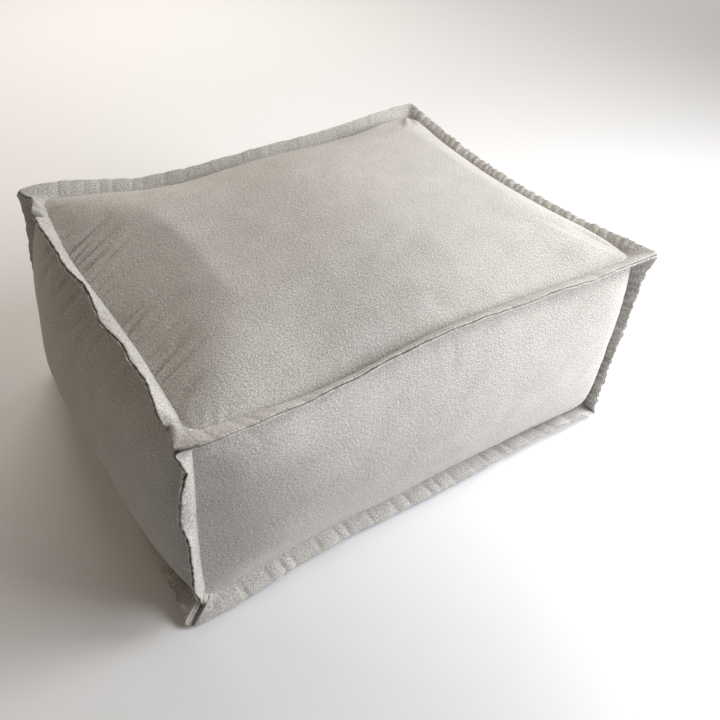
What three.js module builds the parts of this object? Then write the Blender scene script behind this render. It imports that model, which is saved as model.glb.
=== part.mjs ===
// A box-shaped soft pouf, 800 x 600 x 380 mm, standing on the floor.
// Six cloth panels are sewn edge to edge over a soft filling. Each panel's edge is turned and stands
// up outside the stitching, so all twelve seams carry a flange of two cloth layers, and three flanges
// meet in a pointed ear at each corner.
// Millimetres, +Z up. The origin is on the floor under the middle; the long front faces -Y.
import * as THREE from "three";
import { mergeVertices } from "three/addons/utils/BufferGeometryUtils.js";

// overall size
const WIDTH = 800; // along X
const DEPTH = 600; // along Y
const HEIGHT = 380; // from the floor to the crown of the top

// sewn flanges
const FLANGE = 25; // from the stitching to the folded edge
const CLOTH = 3; // one panel's turned edge: the cloth lies double in it
const CLOSED = 0.3; // between the two turned edges at the stitching
const SPRUNG = 1.4; // between them at the folded edge, where they spring apart
const CLEAR = 0.4; // from the filled body to the turned edges
const EAR_START = 1.6; // from a sewn corner to the cloth of its ear
const EAR_BLEND = 12; // along a seam, how soon a flange bends into the ear
const FLAT_SECTOR = 0.3; // two flanges that add up to less than this lie in one plane

const FLOOR = 0; // the filled body lies pressed flat on it

// mesh steps along X, Y and Z
const BODY_STEPS = { x: 22, y: 18, z: 11 };
const FLANGE_STEPS = { x: 32, y: 24, z: 14 };
const CROWDING = 0.09; // how much the body's steps crowd towards the seams
const BESIDE = 0.01; // "beside a seam" is this share of the way across a panel

const vec = (x, y, z) => new THREE.Vector3(x, y, z);

const NORMAL = {
  top: vec(0, 0, 1),
  bottom: vec(0, 0, -1),
  front: vec(0, -1, 0),
  back: vec(0, 1, 0),
  left: vec(-1, 0, 0),
  right: vec(1, 0, 0),
};

// The eight sewn corners. side: which side of X and Y. inset: how far in from the overall box.
// height: above the floor. ear: how far the ear reaches along X, Y and Z.
const CORNERS = {
  left_front_low: { side: [-1, -1], inset: [38, 28], height: 24, ear: [-34, -12, -20] },
  right_front_low: { side: [1, -1], inset: [22, 24], height: 25, ear: [20, -18, -18] },
  left_back_low: { side: [-1, 1], inset: [36, 26], height: 23, ear: [-6, 16, -15] },
  right_back_low: { side: [1, 1], inset: [24, 24], height: 23, ear: [20, 20, -19] },
  left_front_top: { side: [-1, -1], inset: [34, 33], height: 335, ear: [-21, -8, -1] },
  right_front_top: { side: [1, -1], inset: [30, 29], height: 333, ear: [23, -25, 19] },
  left_back_top: { side: [-1, 1], inset: [57, 32], height: 342, ear: [-25, 17, 11] },
  right_back_top: { side: [1, 1], inset: [39, 22], height: 337, ear: [20, 18, 17] },
};

// The twelve seams, each between the panels a and b and from one corner to another, in the direction
// of +X, +Y or +Z. drawn_a, drawn_b: how far the filling draws the seam in, away from a's and b's
// side, at a quarter, the middle and three quarters of it. lean: the flange's angle from a's
// outward normal towards b's, at five places. at, swing: the flange's folds, where along the seam
// (0 to 1) and how far its edge swings towards a.
const SEAMS = {
  front_top: {
    a: "top", b: "front", from: "left_front_top", to: "right_front_top", along: "x",
    drawn_a: [18, 4, 4], drawn_b: [7, 13, 10], lean: [74, 48, 50, 58, 58],
    at: [0, 0.08, 0.2, 0.34, 0.5, 0.64, 0.78, 0.85, 0.92, 1],
    swing: [0, 1, -1, 1, 0, -1, 1, -2, 2, 0],
  },
  back_top: {
    a: "top", b: "back", from: "left_back_top", to: "right_back_top", along: "x",
    drawn_a: [24, 16, 10], drawn_b: [10, 14, 10], lean: [52, 48, 46, 46, 45],
    at: [0, 0.12, 0.22, 0.3, 0.45, 0.58, 0.7, 0.84, 1],
    swing: [0, 1, -2, 2, -1, 2, -1, 1, 0],
  },
  front_low: {
    a: "bottom", b: "front", from: "left_front_low", to: "right_front_low", along: "x",
    drawn_a: [0, -4, -3], drawn_b: [13, 11, 9], lean: [48, 46, 64, 92, 104],
    at: [0, 0.07, 0.13, 0.19, 0.25, 0.4, 0.62, 0.8, 1],
    swing: [0, 1, -2, 1, -2, 1, 0, -1, 0],
  },
  back_low: {
    a: "bottom", b: "back", from: "left_back_low", to: "right_back_low", along: "x",
    drawn_a: [1, 1, 1], drawn_b: [7, 10, 7], lean: [46, 47, 46, 47, 46],
    at: [0, 0.15, 0.28, 0.45, 0.55, 0.75, 0.9, 1],
    swing: [0, -1, 1, -1, 1, -1, 1, 0],
  },
  left_top: {
    a: "top", b: "left", from: "left_front_top", to: "left_back_top", along: "y",
    drawn_a: [7, 13, 12], drawn_b: [5, 2, -5], lean: [62, 38, 47, 47, 52],
    at: [0, 0.015, 0.04, 0.1, 0.165, 0.24, 0.3, 0.41, 0.48, 0.55, 0.635, 0.76, 0.88, 0.94, 1],
    swing: [0, 10, 3, 4, 5, -3, 0, -5, 4, 8, 3, 5, -1, 14, 0],
  },
  right_top: {
    a: "top", b: "right", from: "right_front_top", to: "right_back_top", along: "y",
    drawn_a: [10, 13, 10], drawn_b: [10, 13, 9], lean: [47, 45, 46, 46, 45],
    at: [0, 0.1, 0.2, 0.3, 0.42, 0.55, 0.66, 0.8, 0.9, 1],
    swing: [0, 2, -2, 2, -2, 1, -2, 2, -1, 0],
  },
  left_low: {
    a: "bottom", b: "left", from: "left_front_low", to: "left_back_low", along: "y",
    drawn_a: [3, 5, 4], drawn_b: [-3, 4, 0], lean: [125, 46, 26, 20, 20],
    at: [0, 0.12, 0.25, 0.42, 0.6, 0.8, 1],
    swing: [0, -2, 1, -1, 1, -1, 0],
  },
  right_low: {
    a: "bottom", b: "right", from: "right_front_low", to: "right_back_low", along: "y",
    drawn_a: [1, 1, 1], drawn_b: [7, 9, 7], lean: [46, 47, 47, 46, 46],
    at: [0, 0.15, 0.35, 0.5, 0.7, 0.85, 1],
    swing: [0, 1, -1, 1, -1, 1, 0],
  },
  front_left: {
    a: "left", b: "front", from: "left_front_low", to: "left_front_top", along: "z",
    drawn_a: [-1, 0, 2], drawn_b: [5, 7, 5], lean: [40, 37, 34, 40, 32],
    at: [0, 0.13, 0.18, 0.3, 0.46, 0.5, 0.57, 0.62, 0.7, 0.79, 0.86, 0.91, 0.96, 1],
    swing: [0, -10, -3, -5, -7, -5, 2, 5, 4, 1, -5, -10, -10, 0],
  },
  front_right: {
    a: "right", b: "front", from: "right_front_low", to: "right_front_top", along: "z",
    drawn_a: [0, 0, 0], drawn_b: [0, 0, 0], lean: [94, 98, 80, 66, 72],
    at: [0, 0.2, 0.35, 0.55, 0.7, 0.85, 1],
    swing: [0, 2, -2, 2, -2, 1, 0],
  },
  back_left: {
    a: "left", b: "back", from: "left_back_low", to: "left_back_top", along: "z",
    drawn_a: [0, 0, -2], drawn_b: [5, 7, 5], lean: [80, 72, 60, 50, 46],
    at: [0, 0.2, 0.4, 0.6, 0.8, 1],
    swing: [0, 2, -2, 2, -1, 0],
  },
  back_right: {
    a: "right", b: "back", from: "right_back_low", to: "right_back_top", along: "z",
    drawn_a: [5, 7, 5], drawn_b: [5, 7, 5], lean: [45, 45, 45, 45, 45],
    at: [0, 0.18, 0.42, 0.58, 0.8, 1],
    swing: [0, -2, 2, -2, 1, 0],
  },
};

// The six panels. u0, u1: the seams where u is 0 and 1; v0, v1: where v is 0 and 1, with u x v
// pointing out. rim: height of the steep rise beside the seams. reach: how far from each of the
// seams u0, u1, v0 and v1 it goes. swell: height of the wide swelling. round: the larger, the
// flatter its middle.
const PANELS = {
  top: {
    u0: "left_top", u1: "right_top", v0: "front_top", v1: "back_top",
    rim: 34, reach: [60, 12, 26, 22], swell: 36.5, round: 2.2,
  },
  bottom: {
    u0: "front_low", u1: "back_low", v0: "left_low", v1: "right_low",
    rim: 24, reach: [26, 26, 26, 26], swell: 20, round: 3,
  },
  front: {
    u0: "front_left", u1: "front_right", v0: "front_low", v1: "front_top",
    rim: 26, reach: [55, 14, 30, 24], swell: 18, round: 2.3,
  },
  back: {
    u0: "back_low", u1: "back_top", v0: "back_left", v1: "back_right",
    rim: 24, reach: [34, 24, 24, 24], swell: 20, round: 2.3,
  },
  left: {
    u0: "left_low", u1: "left_top", v0: "front_left", v1: "back_left",
    rim: 25, reach: [14, 30, 26, 12], swell: 22, round: 2.3,
  },
  right: {
    u0: "front_right", u1: "back_right", v0: "right_low", v1: "right_top",
    rim: 24, reach: [24, 24, 30, 24], swell: 16, round: 2.3,
  },
};

// One layer's cross-section. out: from the stitching (0) to the folded edge (1).
// through: from its inner face (0) to its outer face (1).
const SECTION = [
  { out: 0, through: 0 },
  { out: 0.5, through: 0 },
  { out: 0.95, through: 0 },
  { out: 1, through: 0.5 },
  { out: 0.95, through: 1 },
  { out: 0.5, through: 1 },
  { out: 0, through: 1 },
];

const CLOTH_LOOK = { roughness: 0.95, metalness: 0 };
const BODY_COLOUR = 0xb3aca3;
const FLANGE_COLOUR = 0xbdb6ad;

// A smooth curve through evenly spaced values, read at t from 0 to 1.
function smooth(values, t) {
  const last = values.length - 1;
  const i = Math.min(Math.floor(t * last), last - 1);
  const f = t * last - i;
  const value = (k) => values[Math.min(Math.max(k, 0), last)];
  const [before, start, end, after] = [i - 1, i, i + 1, i + 2].map(value);
  const bend = 2 * before - 5 * start + 4 * end - after;
  const twist = 3 * (start - end) + after - before;
  return start + 0.5 * f * (end - before + f * (bend + f * twist));
}

// Straight lines through the rows (at, value), read at t.
function stepped(at, values, t) {
  const i = Math.max(1, at.findIndex((place) => place >= t));
  const share = (t - at[i - 1]) / (at[i] - at[i - 1]);
  return THREE.MathUtils.lerp(values[i - 1], values[i], share);
}

function cornerPoint(name) {
  const { side, inset, height } = CORNERS[name];
  return vec(side[0] * (WIDTH / 2 - inset[0]), side[1] * (DEPTH / 2 - inset[1]), height);
}

// The stitching line of a seam at t, drawn in by the filling between its corners.
function seamPoint(name, t) {
  const seam = SEAMS[name];
  return cornerPoint(seam.from)
    .lerp(cornerPoint(seam.to), t)
    .addScaledVector(NORMAL[seam.a], -smooth([0, ...seam.drawn_a, 0], t))
    .addScaledVector(NORMAL[seam.b], -smooth([0, ...seam.drawn_b, 0], t));
}

// How far a panel stands out over its seams at u, v.
function crown(panel, u, v) {
  const { rim, reach, swell, round, u0, v0 } = PANELS[panel];
  const length = (seam) => seamPoint(seam, 0).distanceTo(seamPoint(seam, 1));
  const rise = (distance, within) => 1 - Math.exp(-distance / within);
  const [wide, high] = [length(v0), length(u0)];
  const steep =
    rise(u * wide, reach[0]) * rise((1 - u) * wide, reach[1]) *
    rise(v * high, reach[2]) * rise((1 - v) * high, reach[3]);
  const dome = (t) => 1 - Math.abs(2 * t - 1) ** round;
  return rim * steep + swell * dome(u) * dome(v);
}

// A point of a panel: the surface stretched between its four seams, raised by the crown.
function panelPoint(panel, u, v) {
  const { u0, u1, v0, v1 } = PANELS[panel];
  const between = seamPoint(u0, v).lerp(seamPoint(u1, v), u);
  const across = seamPoint(v0, u).lerp(seamPoint(v1, u), v);
  const flat = seamPoint(v0, 0)
    .lerp(seamPoint(v0, 1), u)
    .lerp(seamPoint(v1, 0).lerp(seamPoint(v1, 1), u), v);
  const point = between.add(across).sub(flat);
  point.addScaledVector(NORMAL[panel], crown(panel, u, v));
  point.z = Math.min(Math.max(point.z, FLOOR), HEIGHT);
  return point;
}

// A mesh geometry from triangles of points, its shared points merged.
function geometryOf(triangles) {
  const numbers = triangles.flat().flatMap((p) => [p.x, p.y, p.z]);
  const geometry = new THREE.BufferGeometry();
  geometry.setAttribute("position", new THREE.Float32BufferAttribute(numbers, 3));
  const merged = mergeVertices(geometry, 1e-3);
  merged.computeVertexNormals();
  return merged;
}

// The filled body: the six crowned panels as one closed solid.
function filledBody() {
  const places = (along) => {
    const steps = BODY_STEPS[along];
    const even = Array.from({ length: steps + 1 }, (_, i) => i / steps);
    return even.map((t) => t - CROWDING * Math.sin(2 * Math.PI * t));
  };
  const triangles = [];
  for (const [name, panel] of Object.entries(PANELS)) {
    const us = places(SEAMS[panel.v0].along);
    const vs = places(SEAMS[panel.u0].along);
    const rows = vs.map((v) => us.map((u) => panelPoint(name, u, v)));
    for (let j = 0; j < vs.length - 1; j++)
      for (let i = 0; i < us.length - 1; i++) {
        const [p, q] = [rows[j][i], rows[j][i + 1]];
        const [s, r] = [rows[j + 1][i], rows[j + 1][i + 1]];
        triangles.push([p, q, r], [p, r, s]);
      }
  }
  return geometryOf(triangles);
}

// The part of a vector that is square to an axis of length 1, at length 1.
const squareTo = (v, axis) => v.clone().addScaledVector(axis, -v.dot(axis)).normalize();

const gap = (out) => THREE.MathUtils.lerp(CLOSED, SPRUNG, out);

// A panel's layer of a flange at t along its seam: the points of its cross-section.
function layerSection(panel, seamName, t) {
  const seam = SEAMS[seamName];
  const base = seamPoint(seamName, t);
  const length = seamPoint(seamName, 0).distanceTo(seamPoint(seamName, 1));
  const lean = THREE.MathUtils.degToRad(smooth(seam.lean, t));
  const blade = NORMAL[seam.a]
    .clone()
    .multiplyScalar(Math.cos(lean) * FLANGE)
    .addScaledVector(NORMAL[seam.b], Math.sin(lean) * FLANGE);
  for (const [corner, away] of [[seam.from, t], [seam.to, 1 - t]])
    blade.lerp(vec(...CORNERS[corner].ear), Math.exp((-away * length) / EAR_BLEND));
  const reach = blade.length();
  blade.normalize();
  const along = seamPoint(seamName, 1).sub(seamPoint(seamName, 0)).normalize();
  const toA = new THREE.Vector3().crossVectors(along, blade).normalize();
  if (toA.dot(NORMAL[seam.a]) < toA.dot(NORMAL[seam.b])) toA.negate();
  const side = toA.clone().multiplyScalar(panel === seam.a ? 1 : -1);

  // the panel's own slope beside the stitching says how far out the layer can start
  const other = panel === seam.a ? seam.b : seam.a;
  const slope = slopeAtSeam(panel, seamName, t);
  const surface = NORMAL[other].clone().multiplyScalar(-1).addScaledVector(NORMAL[panel], slope);
  const angle = Math.atan2(surface.dot(side), surface.dot(blade));
  const swing = stepped(seam.at, seam.swing, t);
  return SECTION.map(({ out, through }) => {
    const offset = gap(out) / 2 + through * CLOTH;
    const start = (CLEAR + offset * Math.cos(angle)) / Math.sin(angle);
    return base
      .clone()
      .addScaledVector(blade, Math.max(out * reach, start, CLEAR))
      .addScaledVector(side, offset)
      .addScaledVector(toA, swing * out ** 2);
  });
}

// The rise of a panel over the distance from a seam, just beside it at t.
function slopeAtSeam(panel, seamName, t) {
  const { u0, u1, v0, v1 } = PANELS[panel];
  const near = BESIDE;
  const places = { [u0]: [near, t], [u1]: [1 - near, t], [v0]: [t, near], [v1]: [t, 1 - near] };
  const [u, v] = places[seamName];
  const across = seamName === u0 || seamName === u1 ? v0 : u0;
  return crown(panel, u, v) / (near * seamPoint(across, 0).distanceTo(seamPoint(across, 1)));
}

// A panel's layer of an ear: the points of the section that its two seams share at a corner.
function earSection(panel, cornerName) {
  const ear = vec(...CORNERS[cornerName].ear);
  const axis = ear.clone().normalize();
  const walls = { own: [], other: null };
  for (const [name, seam] of Object.entries(SEAMS)) {
    if (seam.from !== cornerName && seam.to !== cornerName) continue;
    const away = seamPoint(name, 1).sub(seamPoint(name, 0));
    if (seam.to === cornerName) away.negate();
    const wall = squareTo(away.normalize(), axis);
    if (seam.a === panel || seam.b === panel) walls.own.push(wall);
    else walls.other = wall;
  }
  // halfway between the panel's own two flanges, on the side where the third one isn't
  const side = walls.own[0].clone().add(walls.own[1]);
  if (side.length() < FLAT_SECTOR) side.copy(walls.other).negate();
  if (side.dot(walls.other) > 0) side.negate();
  side.normalize();
  const spread = Math.min(
    ...walls.own.map((wall) => Math.sin(Math.min(side.angleTo(wall), Math.PI / 2))),
  );
  return SECTION.map(({ out, through }) =>
    cornerPoint(cornerName)
      .addScaledVector(axis, Math.max(out * ear.length(), EAR_START))
      .addScaledVector(side, (gap(out) / 2 + through * CLOTH) / spread),
  );
}

// Whether the points of a section run clockwise, seen the way the seam runs.
function turnsWith(section, along) {
  const inner = section[1].clone().sub(section[0]);
  const outer = section.at(-1).clone().sub(section[0]);
  return inner.cross(outer).dot(along) > 0;
}

// A panel's turned edge: its layer of the four flanges round it, one closed ring.
function turnedEdge(panelName) {
  const { u0, u1, v0, v1 } = PANELS[panelName];
  const triangles = [];
  for (const name of [u0, u1, v0, v1]) {
    const seam = SEAMS[name];
    const steps = FLANGE_STEPS[seam.along];
    const sections = [earSection(panelName, seam.from)];
    for (let i = 1; i < steps; i++) sections.push(layerSection(panelName, name, i / steps));
    sections.push(earSection(panelName, seam.to));
    const facesOut = turnsWith(sections[steps / 2], seamPoint(name, 1).sub(seamPoint(name, 0)));
    for (let i = 0; i < steps; i++)
      for (let k = 0; k < SECTION.length; k++) {
        const n = (k + 1) % SECTION.length;
        const [p, q] = [sections[i][k], sections[i][n]];
        const [s, r] = [sections[i + 1][k], sections[i + 1][n]];
        if (facesOut) triangles.push([p, q, r], [p, r, s]);
        else triangles.push([p, r, q], [p, s, r]);
      }
  }
  return geometryOf(triangles);
}

function clothMesh(name, geometry, colour) {
  const material = new THREE.MeshStandardMaterial({ color: colour, ...CLOTH_LOOK });
  const mesh = new THREE.Mesh(geometry, material);
  mesh.name = name;
  return mesh;
}

const pouf = new THREE.Group();
pouf.add(clothMesh("filled_body", filledBody(), BODY_COLOUR));
for (const name of Object.keys(PANELS))
  pouf.add(clothMesh(`${name}_panel_flange`, turnedEdge(name), FLANGE_COLOUR));

export default pouf;
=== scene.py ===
# %% [markdown]
# # A box-shaped soft pouf
#
# The pouf is six cloth panels sewn edge to edge over a soft filling. Each panel's edge is turned and
# stands out past the stitching, so every seam carries a flange of two cloth layers. This lesson builds
# it the way a maker does: cut and sew the panels, fill them, turn the flanges, then finish the cloth.
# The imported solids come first, because every soft piece has to stay where its solid is.

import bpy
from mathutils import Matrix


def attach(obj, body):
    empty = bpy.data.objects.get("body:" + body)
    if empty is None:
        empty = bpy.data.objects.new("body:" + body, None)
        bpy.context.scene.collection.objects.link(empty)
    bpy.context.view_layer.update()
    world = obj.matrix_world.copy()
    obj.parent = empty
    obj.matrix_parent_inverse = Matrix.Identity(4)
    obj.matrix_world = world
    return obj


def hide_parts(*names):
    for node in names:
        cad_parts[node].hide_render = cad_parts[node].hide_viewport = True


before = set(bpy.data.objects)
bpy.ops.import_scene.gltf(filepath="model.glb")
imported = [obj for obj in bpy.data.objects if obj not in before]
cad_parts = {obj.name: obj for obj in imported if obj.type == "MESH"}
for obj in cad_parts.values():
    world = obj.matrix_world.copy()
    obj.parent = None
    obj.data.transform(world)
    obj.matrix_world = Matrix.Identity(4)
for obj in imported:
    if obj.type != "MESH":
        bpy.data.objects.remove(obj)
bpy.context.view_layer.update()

# %% The rest of what the script uses
import math

import bpy
import numpy as np
from mathutils import Matrix, Vector, noise

MM = 0.001  # the tables below are in millimetres, Blender works in metres
print("Blender", bpy.app.version_string)

# %% [markdown]
# ## The camera
#
# The camera comes first, so that each piece can be looked at from the photograph's angle as it is
# made. It stands to the left of the near long side, looks down on the top, and leans a little, so the
# upright edges aren't upright in the picture. Its place, angles and lens were found from the sewn
# corners that show in the photograph and the pouf's three sizes. A camera that leans can't be aimed by
# a Track To constraint, so its three axes are worked out and go straight into its matrix.

# %% Place the camera
AZIMUTH, ELEVATION, ROLL = (math.radians(angle) for angle in (-39.92, 40.87, 6.79))
CAMERA_AT = Vector((-0.584, -0.796, 0.946))
LENS = 38.35  # millimetres, on the default 36 mm sensor

back = Vector((
    math.sin(AZIMUTH) * math.cos(ELEVATION),
    -math.cos(AZIMUTH) * math.cos(ELEVATION),
    math.sin(ELEVATION),
))
right = Vector((math.cos(AZIMUTH), math.sin(AZIMUTH), 0))
up = back.cross(right)
leaning_right = math.cos(ROLL) * right + math.sin(ROLL) * up
leaning_up = math.cos(ROLL) * up - math.sin(ROLL) * right

bpy.ops.object.camera_add()
camera = bpy.context.object
camera.data.lens = LENS
turn = Matrix((leaning_right, leaning_up, back)).transposed()
camera.matrix_world = Matrix.Translation(CAMERA_AT) @ turn.to_4x4()
bpy.context.scene.camera = camera
print("camera at", [round(c, 3) for c in camera.location])

# %% [markdown]
# ## The sewn box
#
# A maker marks eight corners and twelve seams. The filling draws every seam in between its corners,
# so a seam is a curve through five heights. The tables hold the same named sizes as the solids, so
# that the cloth comes out where they are.

# %% The corners
WIDTH, DEPTH = 800, 600
OUT = {
    "top": np.array([0, 0, 1.0]), "bottom": np.array([0, 0, -1.0]),
    "front": np.array([0, -1.0, 0]), "back": np.array([0, 1.0, 0]),
    "left": np.array([-1.0, 0, 0]), "right": np.array([1.0, 0, 0]),
}

# side: which side of X and Y; inset: from the overall box; height; ear: its reach along X, Y and Z
CORNERS = {
    "left_front_low": dict(side=(-1, -1), inset=(38, 28), height=24, ear=(-34, -12, -20)),
    "right_front_low": dict(side=(1, -1), inset=(22, 24), height=25, ear=(20, -18, -18)),
    "left_back_low": dict(side=(-1, 1), inset=(36, 26), height=23, ear=(-6, 16, -15)),
    "right_back_low": dict(side=(1, 1), inset=(24, 24), height=23, ear=(20, 20, -19)),
    "left_front_top": dict(side=(-1, -1), inset=(34, 33), height=335, ear=(-21, -8, -1)),
    "right_front_top": dict(side=(1, -1), inset=(30, 29), height=333, ear=(23, -25, 19)),
    "left_back_top": dict(side=(-1, 1), inset=(57, 32), height=342, ear=(-25, 17, 11)),
    "right_back_top": dict(side=(1, 1), inset=(39, 22), height=337, ear=(20, 18, 17)),
}


def corner(name):
    """Where three seams meet, in millimetres."""
    row = CORNERS[name]
    half = (WIDTH / 2, DEPTH / 2)
    x, y = (side * (whole - inset) for side, whole, inset in zip(row["side"], half, row["inset"]))
    return np.array([x, y, row["height"]], float)


print("corners:", {name: corner(name).round().tolist() for name in list(CORNERS)[:2]}, "...")

# %% The seams
# between: the panels a and b; ends: its corners; drawn_a, drawn_b: how far it is drawn in at a
# quarter, the middle and three quarters; lean: the flange's angle from a's outward side to b's;
# at, swing: the flange's folds, where along the seam and how far its edge swings towards a
SEAMS = {
    "front_top": dict(
        between=("top", "front"), ends=("left_front_top", "right_front_top"),
        drawn_a=(18, 4, 4), drawn_b=(7, 13, 10), lean=(74, 48, 50, 58, 58),
        at=(0, 0.08, 0.2, 0.34, 0.5, 0.64, 0.78, 0.85, 0.92, 1),
        swing=(0, 1, -1, 1, 0, -1, 1, -2, 2, 0),
    ),
    "back_top": dict(
        between=("top", "back"), ends=("left_back_top", "right_back_top"),
        drawn_a=(24, 16, 10), drawn_b=(10, 14, 10), lean=(52, 48, 46, 46, 45),
        at=(0, 0.12, 0.22, 0.3, 0.45, 0.58, 0.7, 0.84, 1),
        swing=(0, 1, -2, 2, -1, 2, -1, 1, 0),
    ),
    "front_low": dict(
        between=("bottom", "front"), ends=("left_front_low", "right_front_low"),
        drawn_a=(0, -4, -3), drawn_b=(13, 11, 9), lean=(48, 46, 64, 92, 104),
        at=(0, 0.07, 0.13, 0.19, 0.25, 0.4, 0.62, 0.8, 1),
        swing=(0, 1, -2, 1, -2, 1, 0, -1, 0),
    ),
    "back_low": dict(
        between=("bottom", "back"), ends=("left_back_low", "right_back_low"),
        drawn_a=(1, 1, 1), drawn_b=(7, 10, 7), lean=(46, 47, 46, 47, 46),
        at=(0, 0.15, 0.28, 0.45, 0.55, 0.75, 0.9, 1),
        swing=(0, -1, 1, -1, 1, -1, 1, 0),
    ),
    "left_top": dict(
        between=("top", "left"), ends=("left_front_top", "left_back_top"),
        drawn_a=(7, 13, 12), drawn_b=(5, 2, -5), lean=(62, 38, 47, 47, 52),
        at=(0, 0.015, 0.04, 0.1, 0.165, 0.24, 0.3, 0.41, 0.48, 0.55, 0.635, 0.76, 0.88, 0.94, 1),
        swing=(0, 10, 3, 4, 5, -3, 0, -5, 4, 8, 3, 5, -1, 14, 0),
    ),
    "right_top": dict(
        between=("top", "right"), ends=("right_front_top", "right_back_top"),
        drawn_a=(10, 13, 10), drawn_b=(10, 13, 9), lean=(47, 45, 46, 46, 45),
        at=(0, 0.1, 0.2, 0.3, 0.42, 0.55, 0.66, 0.8, 0.9, 1),
        swing=(0, 2, -2, 2, -2, 1, -2, 2, -1, 0),
    ),
    "left_low": dict(
        between=("bottom", "left"), ends=("left_front_low", "left_back_low"),
        drawn_a=(3, 5, 4), drawn_b=(-3, 4, 0), lean=(125, 46, 26, 20, 20),
        at=(0, 0.12, 0.25, 0.42, 0.6, 0.8, 1),
        swing=(0, -2, 1, -1, 1, -1, 0),
    ),
    "right_low": dict(
        between=("bottom", "right"), ends=("right_front_low", "right_back_low"),
        drawn_a=(1, 1, 1), drawn_b=(7, 9, 7), lean=(46, 47, 47, 46, 46),
        at=(0, 0.15, 0.35, 0.5, 0.7, 0.85, 1),
        swing=(0, 1, -1, 1, -1, 1, 0),
    ),
    "front_left": dict(
        between=("left", "front"), ends=("left_front_low", "left_front_top"),
        drawn_a=(-1, 0, 2), drawn_b=(5, 7, 5), lean=(40, 37, 34, 40, 32),
        at=(0, 0.13, 0.18, 0.3, 0.46, 0.5, 0.57, 0.62, 0.7, 0.79, 0.86, 0.91, 0.96, 1),
        swing=(0, -10, -3, -5, -7, -5, 2, 5, 4, 1, -5, -10, -10, 0),
    ),
    "front_right": dict(
        between=("right", "front"), ends=("right_front_low", "right_front_top"),
        drawn_a=(0, 0, 0), drawn_b=(0, 0, 0), lean=(94, 98, 80, 66, 72),
        at=(0, 0.2, 0.35, 0.55, 0.7, 0.85, 1),
        swing=(0, 2, -2, 2, -2, 1, 0),
    ),
    "back_left": dict(
        between=("left", "back"), ends=("left_back_low", "left_back_top"),
        drawn_a=(0, 0, -2), drawn_b=(5, 7, 5), lean=(80, 72, 60, 50, 46),
        at=(0, 0.2, 0.4, 0.6, 0.8, 1),
        swing=(0, 2, -2, 2, -1, 0),
    ),
    "back_right": dict(
        between=("right", "back"), ends=("right_back_low", "right_back_top"),
        drawn_a=(5, 7, 5), drawn_b=(5, 7, 5), lean=(45, 45, 45, 45, 45),
        at=(0, 0.18, 0.42, 0.58, 0.8, 1),
        swing=(0, -2, 2, -2, 1, 0),
    ),
}


def smooth(values, t):
    """A smooth curve through evenly spaced values, read at each t from 0 to 1."""
    values = np.asarray(values, float)
    last = len(values) - 1
    i = np.minimum((t * last).astype(int), last - 1)
    f = t * last - i
    before, start, end, after = (values[np.clip(i + k, 0, last)] for k in (-1, 0, 1, 2))
    bend = 2 * before - 5 * start + 4 * end - after
    twist = 3 * (start - end) + after - before
    return start + 0.5 * f * (end - before + f * (bend + f * twist))


def seam_line(name, t):
    """Points of the stitching at each t, in millimetres."""
    row = SEAMS[name]
    start, end = (corner(c) for c in row["ends"])
    line = start + np.outer(t, end - start)
    for panel, drawn in zip(row["between"], (row["drawn_a"], row["drawn_b"])):
        line -= np.outer(smooth((0, *drawn, 0), t), OUT[panel])
    return line


def run_of(seam):
    """The straight way from a seam's start to its end."""
    start, end = seam_line(seam, np.array([0.0, 1.0]))
    return end - start


print("sewing:", round(sum(np.linalg.norm(run_of(s)) for s in SEAMS) * MM, 2), "m of seams")

# %% [markdown]
# ## The panels, cut and sewn
#
# Each panel is a grid primitive, one for each side of the box. A grid keeps its rows and columns when
# its points are moved, so it can be laid between four curved seams and swollen in one step, and it
# brings a UV map along. Its rows crowd towards the seams, where the cloth turns quickest. The six
# grids are then joined and their doubled edge points merged, which is what sewing does.

# %% The panels' table
# edges: the seams where u is 0 and 1, and where v is 0 and 1, with u x v pointing out; rim: height
# of the steep rise beside the seams; reach: how far from each of them it goes; swell: height of the
# wide swelling; round: the larger, the flatter its middle; grain: the weave's turn from u, in degrees
PANELS = {
    "top": dict(
        edges=("left_top", "right_top", "front_top", "back_top"),
        rim=34, reach=(60, 12, 26, 22), swell=36.5, round=2.2, grain=22,
    ),
    "bottom": dict(
        edges=("front_low", "back_low", "left_low", "right_low"),
        rim=24, reach=(26, 26, 26, 26), swell=20, round=3, grain=0,
    ),
    "front": dict(
        edges=("front_left", "front_right", "front_low", "front_top"),
        rim=26, reach=(55, 14, 30, 24), swell=18, round=2.3, grain=22,
    ),
    "back": dict(
        edges=("back_low", "back_top", "back_left", "back_right"),
        rim=24, reach=(34, 24, 24, 24), swell=20, round=2.3, grain=22,
    ),
    "left": dict(
        edges=("left_low", "left_top", "front_left", "back_left"),
        rim=25, reach=(14, 30, 26, 12), swell=22, round=2.3, grain=-30,
    ),
    "right": dict(
        edges=("front_right", "back_right", "right_low", "right_top"),
        rim=24, reach=(24, 24, 30, 24), swell=16, round=2.3, grain=30,
    ),
}
CELL = 7  # millimetres, the size of a grid's cells before they crowd
CROWDING = 0.09  # of a panel's width, how far a row is moved at most


def crowd(t):
    """Even places from 0 to 1, moved towards both ends."""
    return t - CROWDING * np.sin(2 * math.pi * t)


def crown(panel, u, v):
    """How far the panel stands out over its seams."""
    row = PANELS[panel]
    u0, _, v0, _ = row["edges"]
    wide, high = np.linalg.norm(run_of(v0)), np.linalg.norm(run_of(u0))
    away = (u * wide, (1 - u) * wide, v * high, (1 - v) * high)
    steep = np.prod([1 - np.exp(-d / reach) for d, reach in zip(away, row["reach"])], axis=0)
    dome = [1 - np.abs(2 * t - 1) ** row["round"] for t in (u, v)]
    return row["rim"] * steep + row["swell"] * dome[0] * dome[1]


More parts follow.
